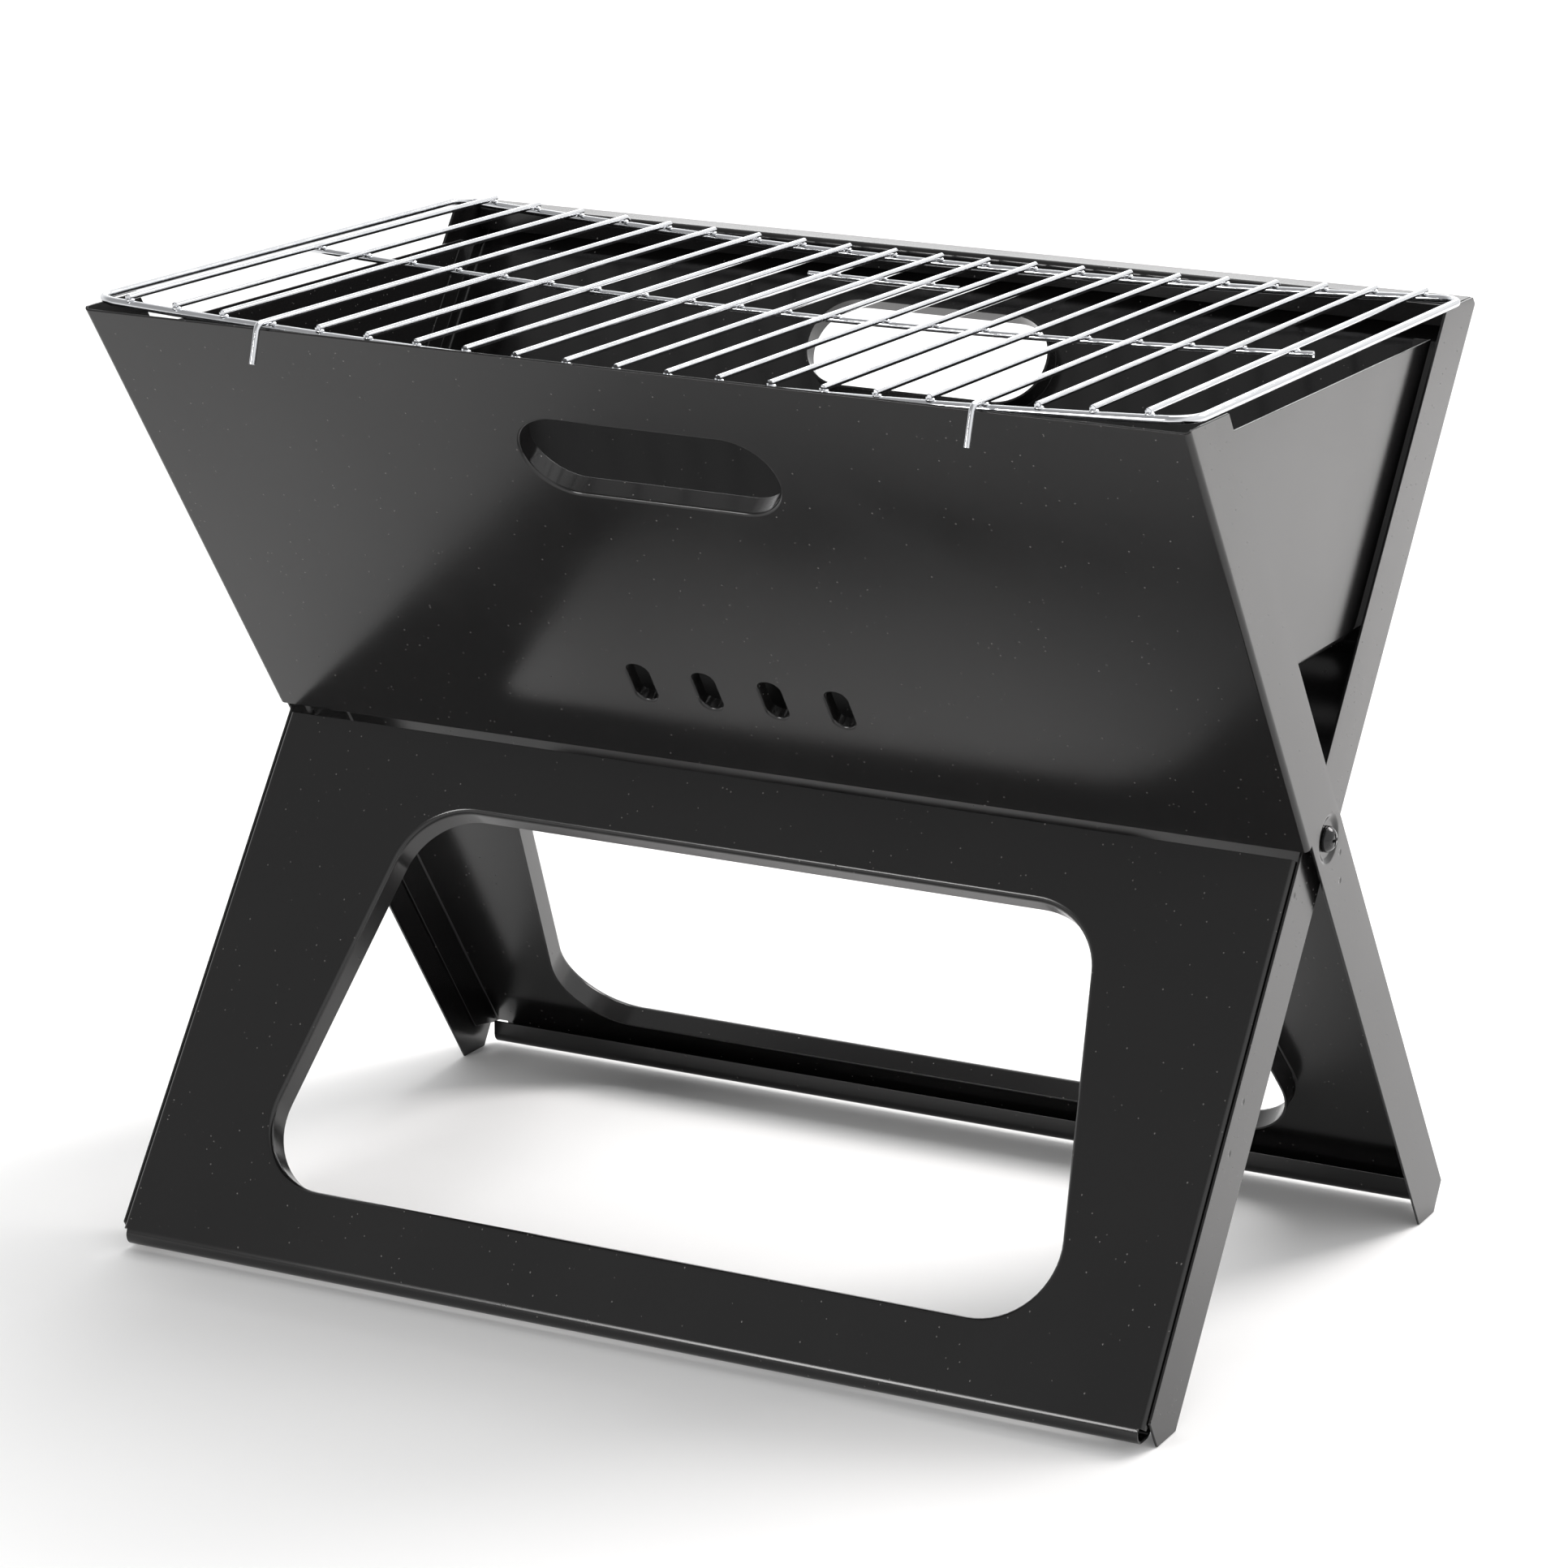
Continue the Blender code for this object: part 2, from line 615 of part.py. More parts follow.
def build_end_plate(name, side):
    """An end plate between the halves, its two leaning edges returned inwards."""
    bm = bmesh.new()
    low, high = slope_y(END_BOTTOM, END_INSET), slope_y(END_TOP, END_INSET)
    edge = Vector((high - low, END_TOP - END_BOTTOM)).normalized()
    normal = Vector((edge.y, -edge.x))
    foot = Vector((low, END_BOTTOM))
    bend_foot = foot + edge * (END_CORNER * math.tan((math.pi / 2.0 - TILT) / 2.0))
    top = Vector((high, END_TOP))
    bend_foot_in = bend_foot - normal * END_BEND
    top_in = top - normal * END_BEND
    centre = bend_foot - normal * END_CORNER
    arc = []
    for k in range(ROUND + 1):
        angle = -math.pi / 2.0 + (math.pi / 2.0 - TILT) * k / ROUND
        reach = END_CORNER - END_BEND * k / ROUND
        arc.append((centre.x + reach * math.cos(angle), centre.y + reach * math.sin(angle)))
    right = [*arc[:-1], tuple(bend_foot_in), tuple(top_in)]
    left = [(-y, z) for y, z in reversed(right)]
    add_flat(bm, right + left, [], lambda y, z: (side * END_FACE, y, z))
    for mirror in (-1, 1):
        rows = []
        for k in range(ARC + 2):
            angle = math.pi / 2.0 * min(k, ARC) / ARC
            out = normal * (END_BEND * math.sin(angle))
            drop = END_BEND * (1.0 - math.cos(angle)) if k <= ARC else END_RETURN
            ends = (bend_foot_in + out, top_in + out)
            rows.append([(side * (END_FACE - drop), mirror * p.x, p.y) for p in ends])
        add_rows(bm, rows)
    outside = (side * END_FACE, 0.0, (END_BOTTOM + END_TOP) / 2.0)
    return finish_skin(name, bm, BLACK, END_SHEET, outside, (side, 0, 0))


def build_basket():
    build_grate()
    build_end_plate("end_plate_left", -1)
    build_end_plate("end_plate_right", 1)


def main():
    clear_scene()
    build_halves()
    build_pivots()
    build_rack()
    build_basket()


main()
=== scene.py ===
"""The looks of the folding camp grill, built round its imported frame.

Every pressing, wire and fastener is made again here as a finer mesh that stands for
its CAD node: full bends, dished bolt seats, spot-weld dents, cross-recessed bolt heads
and threaded shanks. Weld nuggets are added to the rack. Sizes are the frame's own, in metres."""

import json
import math

import bmesh
import bpy
from mathutils import Matrix, Vector, noise
from mathutils.geometry import delaunay_2d_cdt


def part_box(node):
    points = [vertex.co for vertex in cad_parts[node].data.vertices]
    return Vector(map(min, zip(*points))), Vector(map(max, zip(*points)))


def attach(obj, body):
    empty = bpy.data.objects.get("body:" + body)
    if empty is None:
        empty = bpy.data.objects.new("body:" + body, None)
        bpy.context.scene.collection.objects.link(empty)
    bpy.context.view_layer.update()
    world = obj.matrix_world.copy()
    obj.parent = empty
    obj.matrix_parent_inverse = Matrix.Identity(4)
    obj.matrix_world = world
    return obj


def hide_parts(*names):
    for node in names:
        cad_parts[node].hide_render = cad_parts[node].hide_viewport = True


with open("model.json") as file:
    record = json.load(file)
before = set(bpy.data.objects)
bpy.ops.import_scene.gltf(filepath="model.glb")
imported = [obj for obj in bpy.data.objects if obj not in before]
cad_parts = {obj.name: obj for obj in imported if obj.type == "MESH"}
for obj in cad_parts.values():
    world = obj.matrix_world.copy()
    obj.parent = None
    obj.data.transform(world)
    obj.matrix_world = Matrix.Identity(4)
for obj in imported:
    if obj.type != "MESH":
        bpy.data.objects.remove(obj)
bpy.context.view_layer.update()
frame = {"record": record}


def middle_of(node):
    low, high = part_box(node)
    return (Vector(low) + Vector(high)) / 2.0


PIVOT = Vector((0.0, *middle_of("pivot_bolt_right").yz))
PIVOT_Z = PIVOT.z               # bolt height above the feet

# ---- the two halves ----
TILT = math.radians(35.5)       # lean of each half from upright
SHEET = 0.0010                  # pressed sheet
BEND = 0.0022                   # outside radius of the bends
RIM_BEND = 0.0012               # tighter bend round the slots and vents
LEG_BEND = 0.0045               # wider bend at the foot of a leg panel
GAP = 0.0003                    # air between touching pieces
FRONT_HALF_WIDTH = 0.2210       # outside half width of the wider half
REAR_HALF_WIDTH = 0.2173        # outside half width of the half that nests in it

# distances from the bolt, across a half
FIRE_FACE = 0.0165              # outer face of a fire panel
LEG_FACE = 0.0145               # outer face of a leg panel
ARM_TOP_INNER = 0.0125          # free edge of an arm above the bolt
ARM_LOW_OUTER = 0.0131          # arm edge beside the leg panel
ARM_LOW_INNER = 0.0130          # free edge of an arm below the bolt

# distances from the bolt, along a half
FIRE_START = 0.0113             # lower edge of a fire panel
FRONT_TOP = 0.2305              # top edge of the front fire panel
REAR_TOP = 0.2319               # sharp corner of the rear fire panel's top flange
LEG_START = 0.0146              # upper edge of a leg panel
LEG_END = 0.2418                # sharp corner of a leg panel's bottom flange
ARM_STEP = 0.0017               # where an arm widens beside its leg panel
ARM_STEP_RUN = 0.0010           # length of that step's slope
ARM_FOOT = 0.2305               # where an arm's foot starts to slope in
ARM_FOOT_FLAT = 0.0005          # where the foot's level sole ends, across from the bolt line

ARM_TOP_Z = 0.1795              # level tops of the arms above the bolt
ARM_TOP_Y = 0.1415              # where the level top turns into its chamfer
FLANGE_DEPTH = 0.0174           # level flange along a panel's end
LIP_HEIGHT = 0.0100             # lip turned off that flange
LIP_INSET = 0.0060              # the wider leg panel's flange stops this far inside its sides
LEG_FLANGE = 0.0150             # depth of a leg panel's flange inside an arm
LEG_FLANGE_END = 0.2200

# ---- openings in the panels ----
SLOT_SIZE = (0.1040, 0.0376)
SLOT_AT = 0.1807
SLOT_RIM = 0.0085
VENT_SIZE = (0.0088, 0.0196)
VENT_AT = 0.0565
VENT_COUNT = 4
VENT_PITCH = 0.0280
VENT_RIM = 0.0050
WINDOW_TOP = (0.1447, 0.0450)   # half width, and distance down from the bolt
WINDOW_FOOT = (0.1720, 0.2045)
WINDOW_RADIUS = 0.0290
WINDOW_RIM = 0.0110

# ---- pivot bolts ----
BOLT_HOLE = 0.0031
BOLT_RADIUS = 0.0030
DIMPLE_RIM = 0.0100             # the dished seat: its rim, its flat floor and its depth
DIMPLE_FLOOR = 0.0066
DIMPLE_DEPTH = 0.0012
HEAD_RADIUS = 0.0050
HEAD_HEIGHT = 0.0036
HEAD_SKIRT = 0.25               # straight part of the head's height
HEAD_CROWN = 3.5                # the higher, the flatter the top of the head
RECESS_HALF = 0.0026            # reach of the cross recess from the head's middle
RECESS_WIDTH = 0.00052          # half width of its arms
RECESS_WALL = 0.00016           # width of its sloping sides
RECESS_DEPTH = 0.0019
RECESS_SLOPE = 1.6              # how steeply its arms fall away from their ends
THREAD_PITCH = 0.0010
THREAD_DEPTH = 0.0003
THREAD_LENGTH = 0.0095
THREAD_TIP = 0.8                # radius of the shank's end over the shank's own
NUT_RADIUS = 0.0050             # half width across its flats
NUT_CORNER = 1.15               # over its corners, as a share of that
NUT_CHAMFER = 0.14              # the same share for its chamfers
NUT_LENGTH = 0.0048
NUT_BORE = 0.0032
BOLT_END = 0.0015               # thread past the nut
SPACER_RADIUS = 0.0055

# ---- rack, by the middle of its wires, from the bolt line ----
RACK_HALF = 0.2200
RACK_FRONT = -0.1418
RACK_BACK = 0.1230
RACK_LIFT = 0.0023              # frame's sides above the level tops of the arms
RACK_SAG = 0.0064               # the middle of the rack hangs this much lower
RACK_CORNER = 0.0100
FRAME_RADIUS = 0.0016
BAR_RADIUS = 0.0012
BAR_PITCH = 0.0204
BAR_COUNT = 21
BAR_PAST = 0.0014               # how far a bar runs past the frame
WIRE_END = 0.0004               # a wire's cut end is cupped this deep
HOOK_BARS = (4, 18)
HOOK_FRONT = -0.1514            # hooks over the front panel's top edge
HOOK_DROP = 0.0140
HOOK_LEAN = 0.0040
TURN_BACK = 0.1266              # short turned-down ends inside the rear lip
TURN_DROP = 0.0045
HOOK_BEND = 0.0030
WELD_GAP = 0.00005              # air between wires that are welded where they cross
LONG_CROSS = 0.2110             # half lengths of the two cross wires
SHORT_CROSS = 0.0325
SHORT_CROSS_Y = 0.0720
NUGGET = (0.0017, 0.0018, 0.0011)       # half sizes of a weld nugget
NUGGET_LUMPS = 0.00022          # how far its surface wanders
NUGGET_NOISE = 900.0

# ---- fire basket, heights above the bolt ----
GRATE_Z = 0.0670
GRATE_SHEET = 0.0010
GRATE_HALF = (0.2100, 0.0611)
GRATE_EDGE = 0.0070
GRATE_TAB = (0.0360, 0.0100)    # half width and height of its turned-up ends
GRATE_SLOT = (0.0380, 0.0080)
GRATE_SLOTS = (8, 5)            # along and across the grate
GRATE_PITCH = (0.0500, 0.0220)
END_FACE = 0.2125
END_SHEET = 0.0008
END_BEND = 0.0012
END_INSET = 0.0070              # end plate's edges from the bolt line, across each half
END_BOTTOM = 0.0697
END_TOP = 0.1672
END_RETURN = 0.0070
END_CORNER = 0.0080

# ---- spot-weld dents on the arms, placed along and out from the bolt ----
DENT_RADIUS = 0.0016
DENT_FLOOR = 0.0004
DENT_DEPTH = 0.00022
REAR_ARM_DENTS = ((-0.0267, -0.0100), (-0.1060, -0.0062), (-0.1260, -0.0062))
FRONT_ARM_DENTS = ((-0.0136, -0.0053), (-0.0236, 0.0003))

# ---- mesh fineness ----
ARC = 8                         # pieces in a bend
ROUND = 16                      # pieces in an outline's corner
FRAME_ROUND = 12                # pieces in a corner of the rack's frame
SLOT_ROUND = 6                  # pieces in a corner of a grate slot
RING = 64                       # sides of round parts
HEAD_SIDES = 128                # sides of a bolt
HEAD_RINGS = 44
THREAD_ROWS = 76
DISH_RINGS = 9
DENT_SIDES = 20
DENT_RINGS = 4
WIRE_SIDES = 16
WIRE_END_RINGS = 4
RACK_STEPS = 48                 # pieces in a wire that sags across the rack
SHORT_STEPS = 8                 # pieces in the short cross wire
NUGGET_SPLITS = 3
SEAM = 0.00002                  # skin points nearer than this are one point
FILL_SEAM = 1e-7                # the same for an outline that is being filled
FILL_INSIDE = 1                 # the kind of filling that keeps inside the outline
EDGE_ROUND = 0.00018            # enamel rounds every cut edge this much
SHARP = math.radians(40.0)      # an edge turned more than this is a real corner

SIN = math.sin(TILT)
COS = math.cos(TILT)
FRAME_Z = ARM_TOP_Z + RACK_LIFT
BAR_RISE = FRAME_RADIUS + BAR_RADIUS + WELD_GAP
RACK_MIDDLE = (RACK_FRONT + RACK_BACK) / 2.0

# ---- materials: scales of noise and specks per metre, depths of bumps in metres ----
ENAMEL_SHADES = ((0.0040, 0.0040, 0.0043), (0.0075, 0.0070, 0.0068))
DUST_COLOUR = (0.11, 0.105, 0.10)
CHROME_SHADES = ((0.68, 0.69, 0.71), (0.54, 0.55, 0.57))
BLACKED_SHADES = ((0.013, 0.013, 0.014), (0.05, 0.048, 0.046))      # sound, and worn
ZINC_SHADES = ((0.62, 0.63, 0.65), (0.46, 0.47, 0.48))
FULL = (0.0, 1.0)
NOISE_SWING = (0.3, 0.7)        # noise seldom leaves this range
WORN_SPOTS = (0.58, 0.72)       # noise where the blacking starts to wear, and is worn
SPECK_CORE = 0.5                # a speck is solid out to this share of its size
RANGE_SOCKETS = ("From Min", "From Max", "To Min", "To Max")
MIX_FIRST, MIX_SECOND, MIX_RESULT = 6, 7, 2     # colour sockets of a Mix node


class Shader:
    """A Principled material whose nodes are added one by one."""

    def __init__(self, name, metallic, roughness):
        self.material = bpy.data.materials.new(name)
        self.material.use_nodes = True
        self.nodes = self.material.node_tree.nodes
        self.links = self.material.node_tree.links
        self.shader = self.nodes["Principled BSDF"]
        self.shader.inputs["Metallic"].default_value = metallic
        self.shader.inputs["Roughness"].default_value = roughness
        self.place = self.nodes.new("ShaderNodeTexCoord").outputs["Object"]

    def noise(self, scale, detail):
        node = self.nodes.new("ShaderNodeTexNoise")
        node.inputs["Scale"].default_value = scale
        node.inputs["Detail"].default_value = detail
        self.links.new(self.place, node.inputs["Vector"])
        return node.outputs["Fac"]

    def specks(self, scale, size, share):
        """Small round spots, on about that share of the cells."""
        cells = self.nodes.new("ShaderNodeTexVoronoi")
        cells.inputs["Scale"].default_value = scale
        self.links.new(self.place, cells.inputs["Vector"])
        near = self.span(cells.outputs["Distance"], (size, size * SPECK_CORE), FULL)
        chance = self.nodes.new("ShaderNodeSeparateColor")
        self.links.new(cells.outputs["Color"], chance.inputs["Color"])
        chosen = self.span(chance.outputs["Red"], (share, share * SPECK_CORE), FULL)
        return self.maths("MULTIPLY", near, chosen)

    def span(self, value, source, target):
        """Carry a value over from one range to another."""
        node = self.nodes.new("ShaderNodeMapRange")
        for name, number in zip(RANGE_SOCKETS, (*source, *target)):
            node.inputs[name].default_value = number
        self.links.new(value, node.inputs["Value"])
        return node.outputs["Result"]

    def maths(self, operation, first, second):
        node = self.nodes.new("ShaderNodeMath")
        node.operation = operation
        for socket, value in zip(node.inputs, (first, second)):
            if isinstance(value, float):
                socket.default_value = value
            else:
                self.links.new(value, socket)
        return node.outputs["Value"]

    def mix(self, factor, first, second):
        node = self.nodes.new("ShaderNodeMix")
        node.data_type = "RGBA"
        self.links.new(factor, node.inputs["Factor"])
        for number, value in ((MIX_FIRST, first), (MIX_SECOND, second)):
            socket = node.inputs[number]
            if isinstance(value, tuple):
                socket.default_value = (*value, 1.0)
            else:
                self.links.new(value, socket)
        return node.outputs[MIX_RESULT]

    def set(self, name, value):
        self.links.new(value, self.shader.inputs[name])

    def bump(self, *layers):
        """Stack bumps: each layer is (height, distance in metres)."""
        below = None
        for height, distance in layers:
            node = self.nodes.new("ShaderNodeBump")
            node.inputs["Distance"].default_value = distance
            self.links.new(height, node.inputs["Height"])
            if below is not None:
                self.links.new(below, node.inputs["Normal"])
            below = node.outputs["Normal"]
        self.links.new(below, self.shader.inputs["Normal"])


def black_enamel():
    """Baked gloss enamel: faint orange peel, slow waves in the sheet, dust and smudges."""
    s = Shader("black_enamel_fine", 0.0, 0.2)
    smudge = s.noise(9.0, 4.0)
    dust = s.specks(520.0, 0.20, 0.09)
    shade = s.mix(s.noise(14.0, 5.0), *ENAMEL_SHADES)
    s.set("Base Color", s.mix(dust, shade, DUST_COLOUR))
    gloss = s.span(smudge, NOISE_SWING, (0.14, 0.24))
    s.set("Roughness", s.maths("MAXIMUM", gloss, s.maths("MULTIPLY", dust, 0.6)))
    s.shader.inputs["IOR"].default_value = 1.5
    s.bump((s.noise(7.0, 1.0), 0.0009), (s.noise(900.0, 2.0), 0.000006), (dust, 0.00004))
    return s.material


def rack_chrome():
    """Bright plating over drawn wire, a little clouded."""
    s = Shader("rack_chrome_fine", 1.0, 0.12)
    s.set("Base Color", s.mix(s.noise(60.0, 4.0), *CHROME_SHADES))
    s.set("Roughness", s.span(s.noise(120.0, 4.0), NOISE_SWING, (0.07, 0.20)))
    s.bump((s.noise(350.0, 3.0), 0.00003), (s.noise(2500.0, 1.0), 0.000004))
    return s.material


def bolt_black():
    """Blackened steel under a thin gloss, worn a little in spots."""
    s = Shader("bolt_black_fine", 0.3, 0.16)
    wear = s.span(s.noise(800.0, 5.0), WORN_SPOTS, FULL)
    s.set("Base Color", s.mix(wear, *BLACKED_SHADES))
    s.set("Roughness", s.span(s.noise(500.0, 4.0), NOISE_SWING, (0.10, 0.22)))
    s.bump((s.noise(1500.0, 2.0), 0.000008), (s.noise(5000.0, 1.0), 0.000002))
    return s.material


def washer_zinc():
    """Zinc plate with its slight mottling."""
    s = Shader("washer_zinc_fine", 1.0, 0.34)
    s.set("Base Color", s.mix(s.noise(700.0, 4.0), *ZINC_SHADES))
    s.set("Roughness", s.span(s.noise(900.0, 4.0), NOISE_SWING, (0.26, 0.44)))
    s.bump((s.noise(2000.0, 3.0), 0.000008))
    return s.material


MATERIALS = {
    "black_enamel": black_enamel(),
    "rack_chrome": rack_chrome(),
    "bolt_black": bolt_black(),
    "washer_zinc": washer_zinc(),
}


# ---- pieces ----
def body_holding(node):
    """The body that a CAD node belongs to."""
    bodies = frame["record"]["behaviour"]["bodies"]
    return next(body for body, nodes in bodies.items() if node in nodes)


def finish(node, bm, slot):
    """Make a finer piece, named after its node and seated at the bolt line."""
    mesh = bpy.data.meshes.new(f"{node}_fine")
    bm.to_mesh(mesh)
    bm.free()
    mesh.materials.append(MATERIALS[slot])
    mesh.shade_smooth()
    mesh.set_sharp_from_angle(angle=SHARP)
    made = bpy.data.objects.new(f"{node}_fine", mesh)
    made.location = PIVOT
    bpy.context.scene.collection.objects.link(made)
    return made


def stand_for(made, node):
    """Ride with the CAD node's body and replace the node, once the piece is in place."""
    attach(made, body_holding(node))
    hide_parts(node)


def finish_skin(node, bm, slot, thickness, outside, facing):
    """Weld a skin, face it outwards, give it its sheet thickness and round its edges."""
    bmesh.ops.remove_doubles(bm, verts=bm.verts, dist=SEAM)
    bmesh.ops.recalc_face_normals(bm, faces=bm.faces)
    near = min(bm.faces, key=lambda face: (face.calc_center_median() - Vector(outside)).length)
    if near.normal.dot(Vector(facing)) < 0.0:
        bmesh.ops.reverse_faces(bm, faces=bm.faces)
    made = finish(node, bm, slot)
    solid = made.modifiers.new("sheet", "SOLIDIFY")
    solid.thickness = thickness
    solid.offset = -1.0
    solid.use_even_offset = True
    edge = made.modifiers.new("edges", "BEVEL")
    edge.width = EDGE_ROUND
    edge.segments = 2
    edge.limit_method = "ANGLE"
    edge.angle_limit = SHARP
    edge.use_clamp_overlap = False
    flat = made.modifiers.new("flats", "WEIGHTED_NORMAL")
    flat.keep_sharp = True
    return made


# ---- outlines, anticlockwise ----
def rounded(corners, radius, grow=0.0, pieces=ROUND):
    """A convex outline with rounded corners, moved outwards by grow."""
    points = []
    count = len(corners)
    for i, corner in enumerate(corners):
        here = Vector(corner)
        arrive = (here - Vector(corners[i - 1])).normalized()
        leave = (Vector(corners[(i + 1) % count]) - here).normalized()
        turn = math.atan2(arrive.cross(leave), arrive.dot(leave))
        left = Vector((-arrive.y, arrive.x))
        centre = here - arrive * (radius * math.tan(turn / 2.0)) + left * radius
        start = math.atan2(-left.y, -left.x)
        for k in range(pieces + 1):
            angle = start + turn * k / pieces
            reach = radius + grow
            points.append((centre.x + reach * math.cos(angle), centre.y + reach * math.sin(angle)))
    return points


def box_corners(centre, size):
    half_x, half_y = size[0] / 2.0, size[1] / 2.0
    signs = ((-1, -1), (1, -1), (1, 1), (-1, 1))
    return [(centre[0] + sx * half_x, centre[1] + sy * half_y) for sx, sy in signs]


def circle(radius, pieces=RING, centre=(0.0, 0.0)):
    points = []
    for k in range(pieces):
        angle = 2.0 * math.pi * k / pieces
        points.append((centre[0] + radius * math.cos(angle), centre[1] + radius * math.sin(angle)))
    return points


def filleted(corners, radius):
    """An open profile with its inner corners rounded."""
    pieces = ARC + 1
    points = [Vector(corners[0])]
    for before, corner, after in zip(corners, corners[1:], corners[2:]):
        here = Vector(corner)
        back = (Vector(before) - here).normalized()
        ahead = (Vector(after) - here).normalized()
        half = back.angle(ahead) / 2.0
        centre = here + (back + ahead).normalized() * (radius / math.sin(half))
        start = here + back * (radius / math.tan(half)) - centre
        sense = 1.0 if start.cross(back) < 0.0 else -1.0
        for k in range(pieces + 1):
            angle = sense * (math.pi - 2.0 * half) * k / pieces
            points.append(centre + Matrix.Rotation(angle, 2) @ start)
    points.append(Vector(corners[-1]))
    return points


# ---- skins ----
def holds(loop, point):
    """Whether a closed outline goes round the point."""
    inside = False
    for (ax, ay), (bx, by) in zip(loop, [*loop[1:], loop[0]]):
        if (ay > point.y) != (by > point.y):
            if point.x < ax + (point.y - ay) * (bx - ax) / (by - ay):
                inside = not inside
    return inside


def add_flat(bm, outline, holes, place):
    """Fill an outline, less its holes, and put each point where place says."""
    points = []
    edges = []
    for loop in [outline, *holes]:
        first = len(points)
        points.extend(Vector(p) for p in loop)
        edges.extend((first + i, first + (i + 1) % len(loop)) for i in range(len(loop)))
    found = delaunay_2d_cdt(points, edges, [], FILL_INSIDE, FILL_SEAM)
    verts = [bm.verts.new(place(p.x, p.y)) for p in found[0]]
    for face in found[2]:
        centre = sum((found[0][i] for i in face), Vector((0.0, 0.0))) / len(face)
        if holds(outline, centre) and not any(holds(hole, centre) for hole in holes):
            bm.faces.new([verts[i] for i in face])


def add_quads(bm, rows, closed, loop=False):
    """Quads between rows of as many vertices each: closed rows are rings, and a loop of
    rows joins the last to the first."""
    pairs = list(zip(rows, rows[1:]))
    if loop:
        pairs.append((rows[-1], rows[0]))
    count = len(rows[0])
    for low, high in pairs:
        for i in range(count if closed else count - 1):
            j = (i + 1) % count
            bm.faces.new((low[i], low[j], high[j], high[i]))


def add_rows(bm, rows, closed=False):
    """Quads between rows of as many points each."""
    add_quads(bm, [[bm.verts.new(p) for p in row] for row in rows], closed)


def quarter(radius):
    """A quarter bend as steps of (out, drop), from its level start to its upright end."""
    steps = []
    for k in range(ARC + 1):
        angle = math.pi / 2.0 * k / ARC
        steps.append((radius * math.sin(angle), radius * (1.0 - math.cos(angle))))
    return steps


def add_rim(bm, shape, depth, bend, place):
    """A rim turned in round a hole: the bend, then the straight wall."""
    steps = [*quarter(bend), (bend, depth)]
    rows = [[place(a, b, drop) for a, b in shape(bend - out)] for out, drop in steps]
    add_rows(bm, rows, closed=True)


def setback(bend):
    """How far before the sharp corner a bend to a level flange starts."""
    return bend * math.tan((math.pi / 2.0 + TILT) / 2.0)


def add_end_flange(bm, start, face, half, bend):
    """The level flange and lip along a panel's end."""
    corner = Vector((start + setback(bend), face))
    turn = corner + Vector((-SIN, -COS)) * FLANGE_DEPTH
    lip = turn + Vector((-COS, SIN)) * LIP_HEIGHT
    before = corner - Vector((setback(bend) * 2.0, 0.0))
    profile = filleted([before, corner, turn, lip], bend)[1:]
    add_rows(bm, [[(-half, u, w), (half, u, w)] for u, w in profile])


def add_side_bend(bm, side, half, face, start, end):
    """The bend between a panel and its side."""
    rows = []
    for out, drop in quarter(BEND):
        x = side * (half - BEND + out)
        rows.append([(x, start, face - drop), (x, end, face - drop)])
    add_rows(bm, rows)


def add_panel_face(bm, half, face, start, end, holes, flange):
    """A panel's flat face with its rimmed holes, and the flange at its end if it has one."""
    inner = half - BEND
    outline = [(-inner, start), (inner, start), (inner, end)]
    if flange:
        inset, bend = flange
        if inset > BEND:
            outline += [(half - inset, end), (inset - half, end)]
        add_end_flange(bm, end, face, half - inset, bend)
    outline.append((-inner, end))
    add_flat(bm, outline, [shape(bend) for shape, _, bend in holes], lambda x, u: (x, u, face))
    for shape, depth, bend in holes:
        add_rim(bm, shape, depth, bend, lambda x, u, drop: (x, u, face - drop))


def window_shape(grow):
    top, foot = WINDOW_TOP, WINDOW_FOOT
    corners = [(-top[0], top[1]), (top[0], top[1]), (foot[0], foot[1]), (-foot[0], foot[1])]
    return rounded(corners, WINDOW_RADIUS, grow)


def stadium(centre, size):
    """A slot with round ends, as a shape that can grow."""
    corners = box_corners(centre, size)
    radius = min(size) / 2.0 - GAP
    return lambda grow: rounded(corners, radius, grow)


# ---- pressings ----
def arm_outline(panel_end):
    """An arm seen from its side, as distances along and out from the bolt."""
    edge = FIRE_FACE - BEND
    chamfer = COS * ARM_TOP_Y - SIN * ARM_TOP_Z
    sole_in = (SIN * ARM_LOW_INNER - PIVOT_Z) / COS
    sole_out = (-SIN * ARM_FOOT_FLAT - PIVOT_Z) / COS
    return [
        (panel_end, edge),
        (FIRE_START, edge),
        (FIRE_START, ARM_LOW_INNER),
        (sole_in, ARM_LOW_INNER),
        (sole_out, -ARM_FOOT_FLAT),
        (-ARM_FOOT, -ARM_LOW_OUTER),
        (ARM_STEP - ARM_STEP_RUN, -ARM_LOW_OUTER),
        (ARM_STEP, -ARM_TOP_INNER),
        ((ARM_TOP_Z - SIN * ARM_TOP_INNER) / COS, -ARM_TOP_INNER),
        ((ARM_TOP_Z + SIN * chamfer) / COS, chamfer),
    ]


def dish(outer, inner, depth, rings):
    """Radius and drop of a smooth round dish, from its rim to its floor."""
    steps = []
    for k in range(rings + 1):
        t = k / rings
        steps.append((outer + (inner - outer) * t, depth * t * t * (3.0 - 2.0 * t)))
    return steps


